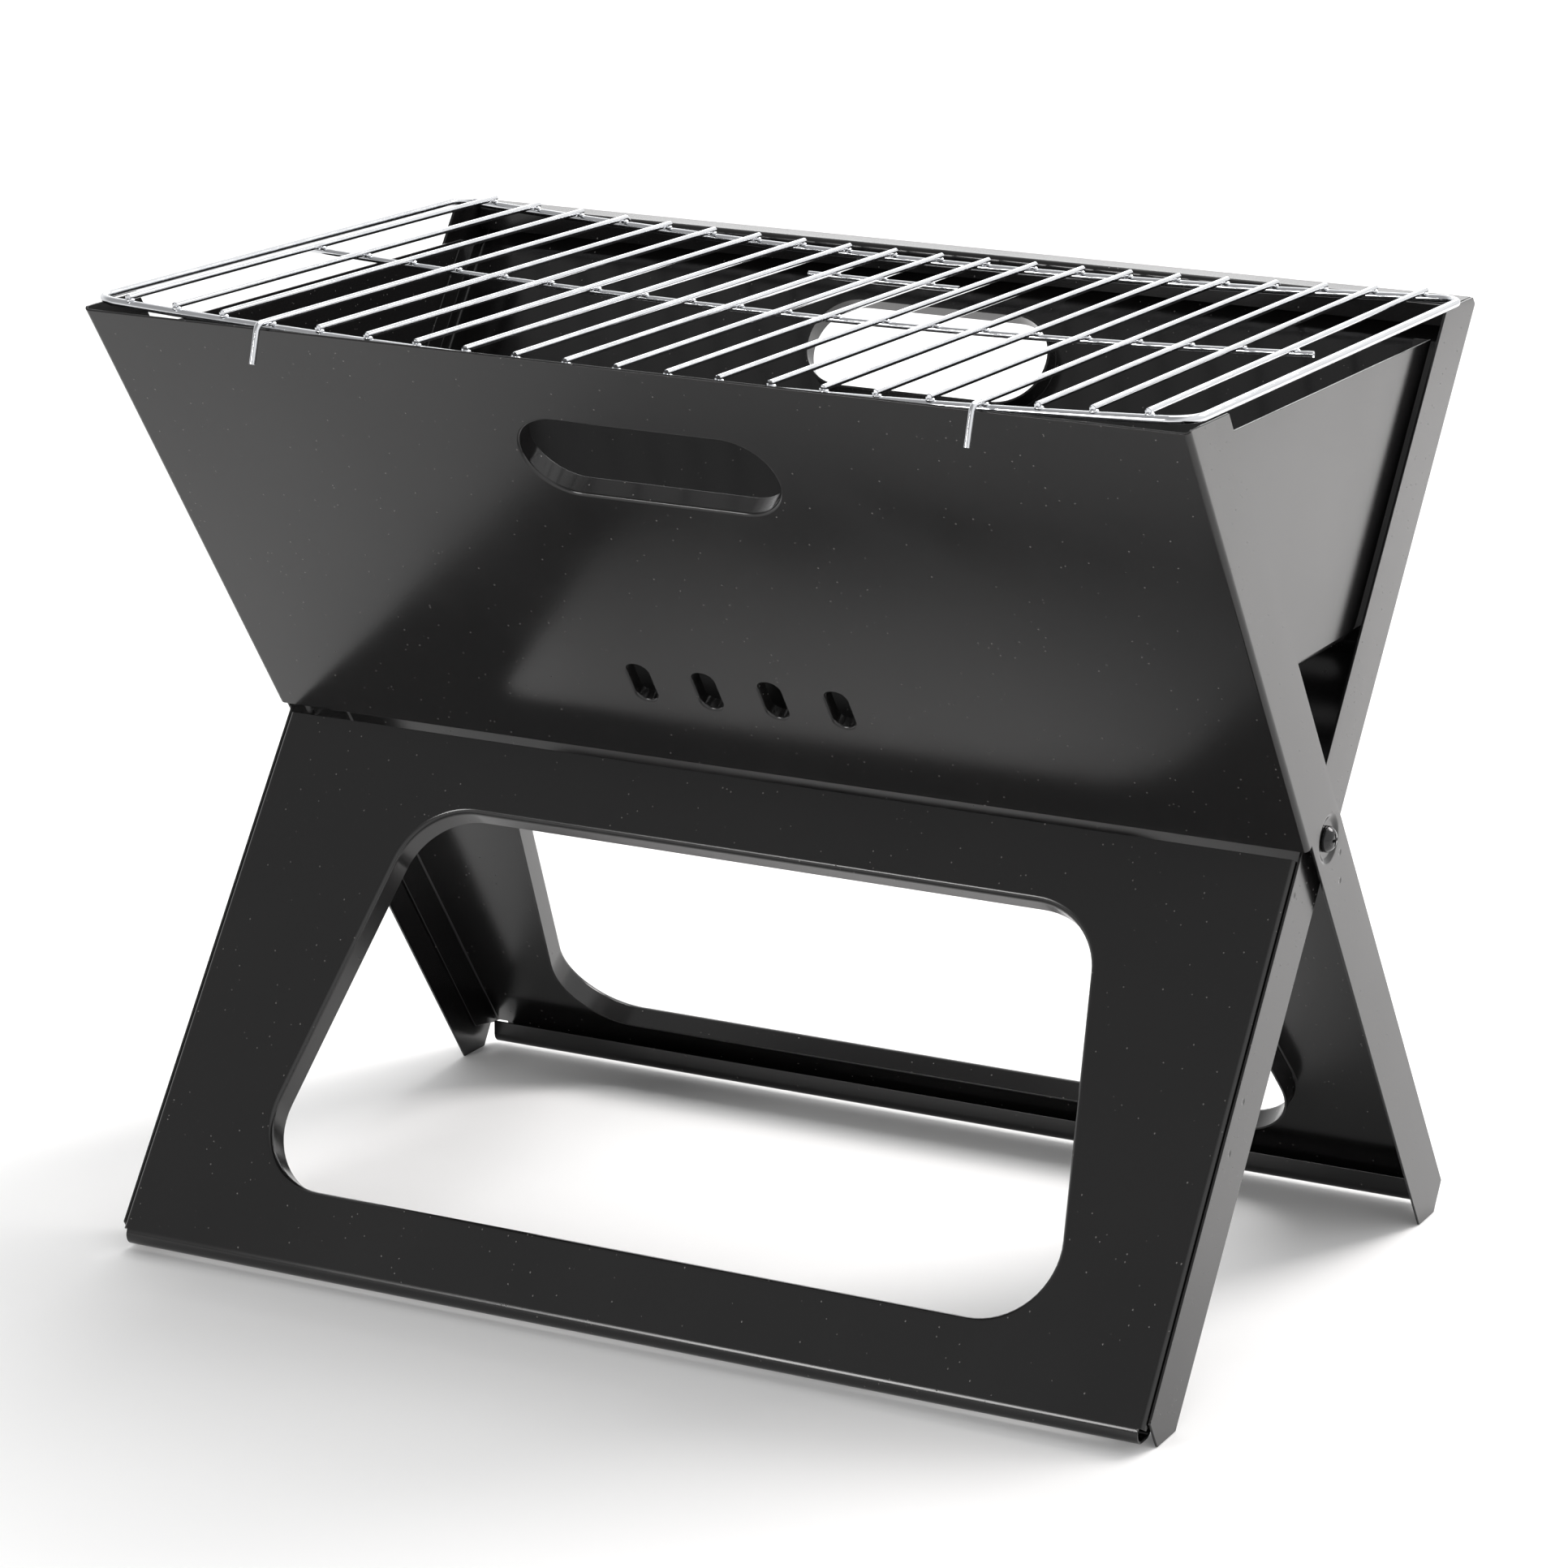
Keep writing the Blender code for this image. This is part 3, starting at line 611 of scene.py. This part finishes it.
def add_arm(bm, side, half, outline, dents):
    """An arm's flat side, with the dished seat and hole for the bolt, and its weld dents."""
    seat = [*dish(DIMPLE_RIM, DIMPLE_FLOOR, DIMPLE_DEPTH, DISH_RINGS), (BOLT_HOLE, DIMPLE_DEPTH)]
    holes = [circle(DIMPLE_RIM)]
    holes += [circle(DENT_RADIUS, DENT_SIDES, dent) for dent in dents]
    add_flat(bm, outline, holes, lambda u, w: (side * half, u, w))
    rows = [[(side * (half - drop), u, w) for u, w in circle(r)] for r, drop in seat]
    add_rows(bm, rows, closed=True)
    for dent in dents:
        rows = []
        for r, drop in dish(DENT_RADIUS, DENT_FLOOR, DENT_DEPTH, DENT_RINGS):
            ring = circle(r, DENT_SIDES, dent)
            rows.append([(side * (half - drop), u, w) for u, w in ring])
        add_rows(bm, rows, closed=True)
        bm.faces.new([bm.verts.new(p) for p in rows[-1]])


def fire_panel(name, half, end, holes, dents, flange=None):
    """A fire panel and its two long arms, bent from one sheet."""
    bm = bmesh.new()
    flat_end = end - setback(flange[1]) if flange else end
    add_panel_face(bm, half, FIRE_FACE, FIRE_START, flat_end, holes, flange)
    for side in (-1, 1):
        add_side_bend(bm, side, half, FIRE_FACE, FIRE_START, flat_end)
        add_arm(bm, side, half, arm_outline(flat_end), dents)
    return finish_skin(name, bm, "black_enamel", SHEET, (0.0, FIRE_START, FIRE_FACE), (0, 0, 1))


def leg_panel(name, arm_half, inset):
    """A leg panel with its window, and the flanges that fix it inside the arms."""
    bm = bmesh.new()
    half = arm_half - SHEET - GAP
    flat_end = LEG_END - setback(LEG_BEND)
    window = [(window_shape, WINDOW_RIM, BEND)]
    add_panel_face(bm, half, LEG_FACE, LEG_START, flat_end, window, (inset, LEG_BEND))
    outline = [
        (flat_end, LEG_FACE - BEND),
        (LEG_START, LEG_FACE - BEND),
        (LEG_START, LEG_FACE - LEG_FLANGE),
        (LEG_FLANGE_END, LEG_FACE - LEG_FLANGE),
    ]
    for side in (-1, 1):
        add_side_bend(bm, side, half, LEG_FACE, LEG_START, flat_end)
        add_flat(bm, outline, [], lambda u, w, side=side: (side * half, u, w))
    return finish_skin(name, bm, "black_enamel", SHEET, (0.0, LEG_START, LEG_FACE), (0, 0, 1))


def lean(made, node, down, turned):
    """Lean a panel out from the bolt line, up or down, and turn it about the other way."""
    angle = TILT - math.pi / 2.0 if down else TILT + math.pi / 2.0
    turn = Matrix.Rotation(math.pi if turned else 0.0, 4, "Z") @ Matrix.Rotation(angle, 4, "X")
    made.data.transform(turn)
    stand_for(made, node)


def build_halves():
    slot = (stadium((0.0, SLOT_AT), SLOT_SIZE), SLOT_RIM, RIM_BEND)
    places = [(k - (VENT_COUNT - 1) / 2.0) * VENT_PITCH for k in range(VENT_COUNT)]
    vents = [(stadium((x, VENT_AT), VENT_SIZE), VENT_RIM, RIM_BEND) for x in places]
    front = fire_panel(
        "front_fire_panel", FRONT_HALF_WIDTH, FRONT_TOP, [slot, *vents], FRONT_ARM_DENTS
    )
    lean(front, "front_fire_panel", down=False, turned=False)
    leg = leg_panel("rear_leg_panel", FRONT_HALF_WIDTH, LIP_INSET)
    lean(leg, "rear_leg_panel", down=True, turned=False)
    rear = fire_panel(
        "rear_fire_panel", REAR_HALF_WIDTH, REAR_TOP, [slot], REAR_ARM_DENTS, (BEND, BEND)
    )
    lean(rear, "rear_fire_panel", down=False, turned=True)
    leg = leg_panel("front_leg_panel", REAR_HALF_WIDTH, BEND)
    lean(leg, "front_leg_panel", down=True, turned=True)


# ---- fasteners ----
def recess(a, b):
    """Depth of the cross recess at a point of the bolt head."""
    depth = 0.0
    for along, across in ((a, b), (b, a)):
        wall = (RECESS_WIDTH - abs(across)) / RECESS_WALL + 0.5
        end = 1.0 - abs(along) / RECESS_HALF
        if wall > 0.0 and end > 0.0:
            depth = max(depth, RECESS_DEPTH * min(1.0, wall) * min(1.0, end * RECESS_SLOPE))
    return depth


def head_height(a, b):
    """Height of the domed head above its seat, less the recess."""
    out = min(1.0, math.hypot(a, b) / HEAD_RADIUS)
    crown = HEAD_SKIRT + (1.0 - HEAD_SKIRT) * (1.0 - out ** HEAD_CROWN)
    return HEAD_HEIGHT * crown - recess(a, b)


def build_bolt(node, side):
    """A domed cross-recess bolt, its shank threaded towards its end."""
    bm = bmesh.new()
    seat = FRONT_HALF_WIDTH - DIMPLE_DEPTH + GAP
    tip = REAR_HALF_WIDTH - DIMPLE_DEPTH - SHEET - GAP - NUT_LENGTH - BOLT_END
    rings = []
    for k in range(THREAD_ROWS + 1):
        x = tip + THREAD_LENGTH * k / THREAD_ROWS
        ring = []
        for i, (a, b) in enumerate(circle(1.0, HEAD_SIDES)):
            turn = (x / THREAD_PITCH + side * i / HEAD_SIDES) % 1.0
            radius = BOLT_RADIUS - THREAD_DEPTH * abs(2.0 * turn - 1.0)
            if k == 0:
                radius = BOLT_RADIUS * THREAD_TIP
            ring.append(bm.verts.new((side * x, radius * a, radius * b)))
        rings.append(ring)
    for radius in (BOLT_RADIUS, HEAD_RADIUS):
        rings.append([bm.verts.new((side * seat, a, b)) for a, b in circle(radius, HEAD_SIDES)])
    for k in range(HEAD_RINGS):
        ring = []
        for a, b in circle(HEAD_RADIUS * (1.0 - k / HEAD_RINGS), HEAD_SIDES):
            ring.append(bm.verts.new((side * (seat + head_height(a, b)), a, b)))
        rings.append(ring)
    add_quads(bm, rings, closed=True)
    bm.faces.new(rings[0][::-1])
    bm.faces.new(rings[-1])
    bmesh.ops.recalc_face_normals(bm, faces=bm.faces)
    stand_for(finish(node, bm, "bolt_black"), node)


def hexagon(across, cut):
    """A hexagon by its half width across flats, its corners cut back to a radius."""
    points = []
    for k in range(RING):
        angle = 2.0 * math.pi * k / RING
        off = (angle + math.pi / 6.0) % (math.pi / 3.0) - math.pi / 6.0
        reach = min(across / math.cos(off), cut)
        points.append((reach * math.cos(angle), reach * math.sin(angle)))
    return points


def build_ring(node, side, profile, slot):
    """A ring along X from its outline loops of (distance out, points)."""
    bm = bmesh.new()
    rings = [[bm.verts.new((side * x, a, b)) for a, b in loop] for x, loop in profile]
    add_quads(bm, rings, closed=True, loop=True)
    bmesh.ops.recalc_face_normals(bm, faces=bm.faces)
    stand_for(finish(node, bm, slot), node)


def build_pivots():
    rear_outside = REAR_HALF_WIDTH - DIMPLE_DEPTH
    near = rear_outside + GAP
    far = FRONT_HALF_WIDTH - DIMPLE_DEPTH - SHEET - GAP
    face = rear_outside - SHEET - GAP
    back = face - NUT_LENGTH
    small = SPACER_RADIUS - EDGE_ROUND
    cut = NUT_RADIUS * NUT_CORNER
    chamfer = NUT_RADIUS * NUT_CHAMFER
    spacer = [
        (near, circle(BOLT_HOLE)), (far, circle(BOLT_HOLE)),
        (far, circle(small)), (far - EDGE_ROUND, circle(SPACER_RADIUS)),
        (near + EDGE_ROUND, circle(SPACER_RADIUS)), (near, circle(small)),
    ]
    nut = [
        (back + chamfer, circle(NUT_BORE)), (face - chamfer, circle(NUT_BORE)),
        (face, circle(NUT_BORE + chamfer)), (face, hexagon(NUT_RADIUS, NUT_RADIUS)),
        (face - chamfer, hexagon(NUT_RADIUS, cut)), (back + chamfer, hexagon(NUT_RADIUS, cut)),
        (back, hexagon(NUT_RADIUS, NUT_RADIUS)), (back, circle(NUT_BORE + chamfer)),
    ]
    for side, word in ((-1, "left"), (1, "right")):
        build_bolt(f"pivot_bolt_{word}", side)
        build_ring(f"pivot_spacer_{word}", side, spacer, "washer_zinc")
        build_ring(f"pivot_nut_{word}", side, nut, "washer_zinc")


# ---- wires ----
def wire_ring(bm, here, side, up, radius, stretch=1.0):
    """A ring round a wire, stretched across its path where the wire bends."""
    ring = []
    for k in range(WIRE_SIDES):
        angle = 2.0 * math.pi * (k + 0.5) / WIRE_SIDES
        offset = side * (math.cos(angle) * stretch) + up * math.sin(angle)
        ring.append(bm.verts.new(here + offset * radius))
    return ring


def add_wire(bm, path, radius, plane, closed=False):
    """A round wire along a path that lies nearly in the plane of the given normal."""
    count = len(path)
    rings = []
    for i, point in enumerate(path):
        here = Vector(point)
        before = Vector(path[i - 1]) if closed or i > 0 else here
        after = Vector(path[(i + 1) % count]) if closed or i < count - 1 else here
        ahead = (after - before).normalized()
        side = Vector(plane).cross(ahead).normalized()
        up = ahead.cross(side)
        if before != here and after != here:
            bend = (here - before).angle(after - here, 0.0)
            rings.append(wire_ring(bm, here, side, up, radius, 1.0 / math.cos(bend / 2.0)))
            continue
        inward = ahead if i == 0 else -ahead
        end = []
        for k in range(WIRE_END_RINGS + 1):
            angle = math.pi / 2.0 * k / WIRE_END_RINGS
            back = WIRE_END * (1.0 - math.sin(angle))
            end.append(wire_ring(bm, here + inward * back, side, up, radius - back))
        rings.extend(end if i == 0 else end[::-1])
    add_quads(bm, rings, closed=True, loop=closed)
    if not closed:
        bm.faces.new(rings[0][::-1])
        bm.faces.new(rings[-1])
    bmesh.ops.recalc_face_normals(bm, faces=bm.faces)


def sag(x):
    """How far the rack hangs down at a distance from its middle."""
    return RACK_SAG * (1.0 - (x / RACK_HALF) ** 2)


def frame_path():
    """The frame's outline, its long sides cut into pieces that sag."""
    size = (2.0 * RACK_HALF, RACK_BACK - RACK_FRONT)
    outline = rounded(box_corners((0.0, RACK_MIDDLE), size), RACK_CORNER, pieces=FRAME_ROUND)
    path = []
    for here, after in zip(outline, outline[1:] + outline[:1]):
        path.append(here)
        if abs(here[0] - after[0]) > RACK_HALF:
            step = (after[0] - here[0]) / RACK_STEPS
            path.extend((here[0] + step * k, here[1]) for k in range(1, RACK_STEPS))
    return [(x, y, FRAME_Z - sag(x)) for x, y in path]


def bar_path(number):
    """A bar's path; the hook bars run on over the front panel, and turn down at both ends."""
    x = bar_x(number)
    z = FRAME_Z - sag(x) + BAR_RISE
    if number not in HOOK_BARS:
        return [(x, RACK_FRONT - BAR_PAST, z), (x, RACK_BACK + BAR_PAST, z)]
    corners = [
        (HOOK_FRONT - HOOK_LEAN, z - HOOK_DROP),
        (HOOK_FRONT, z),
        (TURN_BACK, z),
        (TURN_BACK, z - TURN_DROP),
    ]
    return [(x, p.x, p.y) for p in filleted(corners, HOOK_BEND)]


def bar_x(number):
    return (number - (BAR_COUNT + 1) / 2.0) * BAR_PITCH


def add_nugget(bm, x, y, z):
    """The small blob of a cross-wire weld, squeezed out between the two wires."""
    place = Matrix.Translation((x, y, z)) @ Matrix.Diagonal((*NUGGET, 1.0))
    made = bmesh.ops.create_icosphere(bm, subdivisions=NUGGET_SPLITS, radius=1.0, matrix=place)
    centre = Vector((x, y, z))
    for vert in made["verts"]:
        out = (vert.co - centre).normalized()
        vert.co += out * (noise.noise(vert.co * NUGGET_NOISE) * NUGGET_LUMPS)


def build_nuggets():
    """One weld wherever a bar crosses the frame or a cross wire."""
    bm = bmesh.new()
    for number in range(1, BAR_COUNT + 1):
        x = bar_x(number)
        z = FRAME_Z - sag(x)
        add_nugget(bm, x, RACK_FRONT, z + FRAME_RADIUS)
        add_nugget(bm, x, RACK_BACK, z + FRAME_RADIUS)
        under = z + BAR_RISE - BAR_RADIUS
        add_nugget(bm, x, RACK_MIDDLE, under)
        if abs(x) < SHORT_CROSS:
            add_nugget(bm, x, SHORT_CROSS_Y, under)
    made = finish("rack_weld_nuggets", bm, "rack_chrome")
    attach(made, "rack")


def build_rack():
    bm = bmesh.new()
    add_wire(bm, frame_path(), FRAME_RADIUS, (0, 0, 1), closed=True)
    stand_for(finish("rack_frame", bm, "rack_chrome"), "rack_frame")
    for number in range(1, BAR_COUNT + 1):
        bm = bmesh.new()
        add_wire(bm, bar_path(number), BAR_RADIUS, (1, 0, 0))
        name = f"rack_bar_{number:02d}"
        stand_for(finish(name, bm, "rack_chrome"), name)
    drop = 2.0 * BAR_RADIUS + WELD_GAP
    wires = (
        ("rack_cross_wire_long", LONG_CROSS, RACK_MIDDLE, RACK_STEPS),
        ("rack_cross_wire_short", SHORT_CROSS, SHORT_CROSS_Y, SHORT_STEPS),
    )
    for name, half, y, steps in wires:
        places = [half * (2.0 * k / steps - 1.0) for k in range(steps + 1)]
        path = [(x, y, FRAME_Z - sag(x) + BAR_RISE - drop) for x in places]
        bm = bmesh.new()
        add_wire(bm, path, BAR_RADIUS, (0, 1, 0))
        stand_for(finish(name, bm, "rack_chrome"), name)
    build_nuggets()


# ---- fire basket ----
def build_grate():
    """A slotted plate with its long edges turned down and its ends turned up."""
    bm = bmesh.new()
    half_x, half_y = GRATE_HALF
    inner_x, inner_y = half_x - BEND, half_y - BEND
    tab, rise = GRATE_TAB
    outline = [
        (-inner_x, -inner_y), (inner_x, -inner_y),
        (inner_x, -tab), (inner_x, tab),
        (inner_x, inner_y), (-inner_x, inner_y),
        (-inner_x, tab), (-inner_x, -tab),
    ]
    slots = []
    round_end = GRATE_SLOT[1] / 2.0 - GAP
    for i in range(GRATE_SLOTS[0]):
        for j in range(GRATE_SLOTS[1]):
            centre = (
                (i - (GRATE_SLOTS[0] - 1) / 2.0) * GRATE_PITCH[0],
                (j - (GRATE_SLOTS[1] - 1) / 2.0) * GRATE_PITCH[1],
            )
            corners = box_corners(centre, GRATE_SLOT)
            slots.append(rounded(corners, round_end, pieces=SLOT_ROUND))
    add_flat(bm, outline, slots, lambda x, y: (x, y, GRATE_Z))
    for side in (-1, 1):
        edge = [(side * (inner_y + out), GRATE_Z - drop) for out, drop in quarter(BEND)]
        end = [(side * (inner_x + out), GRATE_Z + drop) for out, drop in quarter(BEND)]
        edge.append((side * half_y, GRATE_Z - GRATE_EDGE))
        end.append((side * half_x, GRATE_Z + rise))
        add_rows(bm, [[(-inner_x, y, z), (inner_x, y, z)] for y, z in edge])
        add_rows(bm, [[(x, -tab, z), (x, tab, z)] for x, z in end])
    middle = (0.0, 0.0, GRATE_Z)
    made = finish_skin("charcoal_grate", bm, "black_enamel", GRATE_SHEET, middle, (0, 0, 1))
    stand_for(made, "charcoal_grate")


def slope_y(z, inset):
    """How far out a half is at a height, measured to a line inset across it from the bolt."""
    return (z - SIN * inset) * SIN / COS - COS * inset


def build_end_plate(name, side):
    """An end plate between the halves, its two leaning edges returned inwards."""
    bm = bmesh.new()
    low, high = slope_y(END_BOTTOM, END_INSET), slope_y(END_TOP, END_INSET)
    edge = Vector((high - low, END_TOP - END_BOTTOM)).normalized()
    normal = Vector((edge.y, -edge.x))
    foot = Vector((low, END_BOTTOM))
    bend_foot = foot + edge * (END_CORNER * math.tan((math.pi / 2.0 - TILT) / 2.0))
    top = Vector((high, END_TOP))
    bend_foot_in = bend_foot - normal * END_BEND
    top_in = top - normal * END_BEND
    centre = bend_foot - normal * END_CORNER
    arc = []
    for k in range(ROUND + 1):
        angle = -math.pi / 2.0 + (math.pi / 2.0 - TILT) * k / ROUND
        reach = END_CORNER - END_BEND * k / ROUND
        arc.append((centre.x + reach * math.cos(angle), centre.y + reach * math.sin(angle)))
    right = [*arc[:-1], tuple(bend_foot_in), tuple(top_in)]
    left = [(-y, z) for y, z in reversed(right)]
    add_flat(bm, right + left, [], lambda y, z: (side * END_FACE, y, z))
    for mirror in (-1, 1):
        rows = []
        for out, drop in [*quarter(END_BEND), (END_BEND, END_RETURN)]:
            ends = (bend_foot_in + normal * out, top_in + normal * out)
            rows.append([(side * (END_FACE - drop), mirror * p.x, p.y) for p in ends])
        add_rows(bm, rows)
    outside = (side * END_FACE, 0.0, (END_BOTTOM + END_TOP) / 2.0)
    made = finish_skin(name, bm, "black_enamel", END_SHEET, outside, (side, 0, 0))
    stand_for(made, name)


def build_basket():
    build_grate()
    build_end_plate("end_plate_left", -1)
    build_end_plate("end_plate_right", 1)


# ---- studio ----
FLOOR_SIZE = 40.0
FLOOR_COLOUR = (0.88, 0.88, 0.88)
FLOOR_ROUGHNESS = 0.9
FLOOR_DROP = 0.0002             # air under the feet
SKY_BRIGHT = 1.2
SKY_DIM = 0.45
DIM_TOWARDS = (-0.40, -0.56, 0.73)      # the studio's unlit side, high in front and to the left
DIM_EDGE = (0.30, 0.88)                 # cosines where the dim side starts and is full
CAMERA_FROM_PIVOT = Vector((0.8651, -1.7086, 0.5277))
CAMERA_AZIMUTH = math.radians(24.83)
CAMERA_ELEVATION = math.radians(16.93)
CAMERA_ROLL = math.radians(1.18)
CAMERA_LENS = 118.0
CAMERA_SHIFT = (-0.1168, 0.0746)
SOFTBOXES = (                   # place from the bolt line, where it points, size, power, colour
    ((1.10, 1.50, 1.50), (0.60, 0.80, -0.19), 1.00, 42.0, (1.0, 0.97, 0.955)),
    ((-0.05, 0.75, 2.40), (0.0, 0.0, 0.0), 1.20, 20.0, (1.0, 0.99, 0.98)),
    ((-0.72, -1.90, 0.55), (0.0, -0.15, 0.0), 0.50, 12.0, (1.0, 0.99, 0.98)),
    ((-2.00, 5.50, 2.00), (-2.00, 5.50, -0.19), 4.00, 130.0, (1.0, 1.0, 1.0)),
)


def build_floor():
    bm = bmesh.new()
    bmesh.ops.create_grid(bm, x_segments=1, y_segments=1, size=FLOOR_SIZE / 2.0)
    mesh = bpy.data.meshes.new("studio_floor")
    bm.to_mesh(mesh)
    bm.free()
    paint = bpy.data.materials.new("studio_floor")
    paint.use_nodes = True
    shader = paint.node_tree.nodes["Principled BSDF"]
    shader.inputs["Base Color"].default_value = (*FLOOR_COLOUR, 1.0)
    shader.inputs["Roughness"].default_value = FLOOR_ROUGHNESS
    mesh.materials.append(paint)
    floor = bpy.data.objects.new("studio_floor", mesh)
    floor.location = (0.0, 0.0, -FLOOR_DROP)
    bpy.context.scene.collection.objects.link(floor)


def build_sky():
    """An even pale sky, dimmer towards the studio's unlit side."""
    world = bpy.data.worlds.new("studio")
    world.use_nodes = True
    nodes, links = world.node_tree.nodes, world.node_tree.links
    towards = nodes.new("ShaderNodeTexCoord").outputs["Generated"]
    facing = nodes.new("ShaderNodeVectorMath")
    facing.operation = "DOT_PRODUCT"
    facing.inputs[1].default_value = Vector(DIM_TOWARDS).normalized()
    links.new(towards, facing.inputs[0])
    fade = nodes.new("ShaderNodeMapRange")
    fade.interpolation_type = "SMOOTHSTEP"
    limits = (*DIM_EDGE, SKY_BRIGHT, SKY_DIM)
    for name, number in zip(RANGE_SOCKETS, limits):
        fade.inputs[name].default_value = number
    links.new(facing.outputs["Value"], fade.inputs["Value"])
    links.new(fade.outputs["Result"], nodes["Background"].inputs["Strength"])
    nodes["Background"].inputs["Color"].default_value = (1.0, 1.0, 1.0, 1.0)
    bpy.context.scene.world = world


def build_lights():
    for number, (place, target, size, power, colour) in enumerate(SOFTBOXES):
        data = bpy.data.lights.new(f"softbox_{number}", "AREA")
        data.shape = "SQUARE"
        data.size = size
        data.energy = power
        data.color = colour
        lamp = bpy.data.objects.new(f"softbox_{number}", data)
        lamp.location = PIVOT + Vector(place)
        aim = Vector(target) - Vector(place)
        lamp.rotation_euler = aim.to_track_quat("-Z", "Y").to_euler()
        bpy.context.scene.collection.objects.link(lamp)


def build_camera():
    """The main view: a long lens, slightly rolled, its frame shifted."""
    level = math.cos(CAMERA_ELEVATION)
    back = Vector((
        math.sin(CAMERA_AZIMUTH) * level,
        -math.cos(CAMERA_AZIMUTH) * level,
        math.sin(CAMERA_ELEVATION),
    ))
    right = Vector((-back.y, back.x, 0.0)).normalized()
    up = back.cross(right)
    turned = right * math.cos(CAMERA_ROLL) + up * math.sin(CAMERA_ROLL)
    lifted = up * math.cos(CAMERA_ROLL) - right * math.sin(CAMERA_ROLL)
    data = bpy.data.cameras.new("camera")
    data.lens = CAMERA_LENS
    data.shift_x, data.shift_y = CAMERA_SHIFT
    camera = bpy.data.objects.new("camera", data)
    axes = Matrix((turned, lifted, back)).transposed()
    camera.matrix_world = Matrix.Translation(PIVOT + CAMERA_FROM_PIVOT) @ axes.to_4x4()
    bpy.context.scene.collection.objects.link(camera)
    bpy.context.scene.camera = camera


bpy.context.scene.view_settings.view_transform = "Standard"
build_halves()
build_pivots()
build_rack()
build_basket()
build_floor()
build_sky()
build_lights()
build_camera()
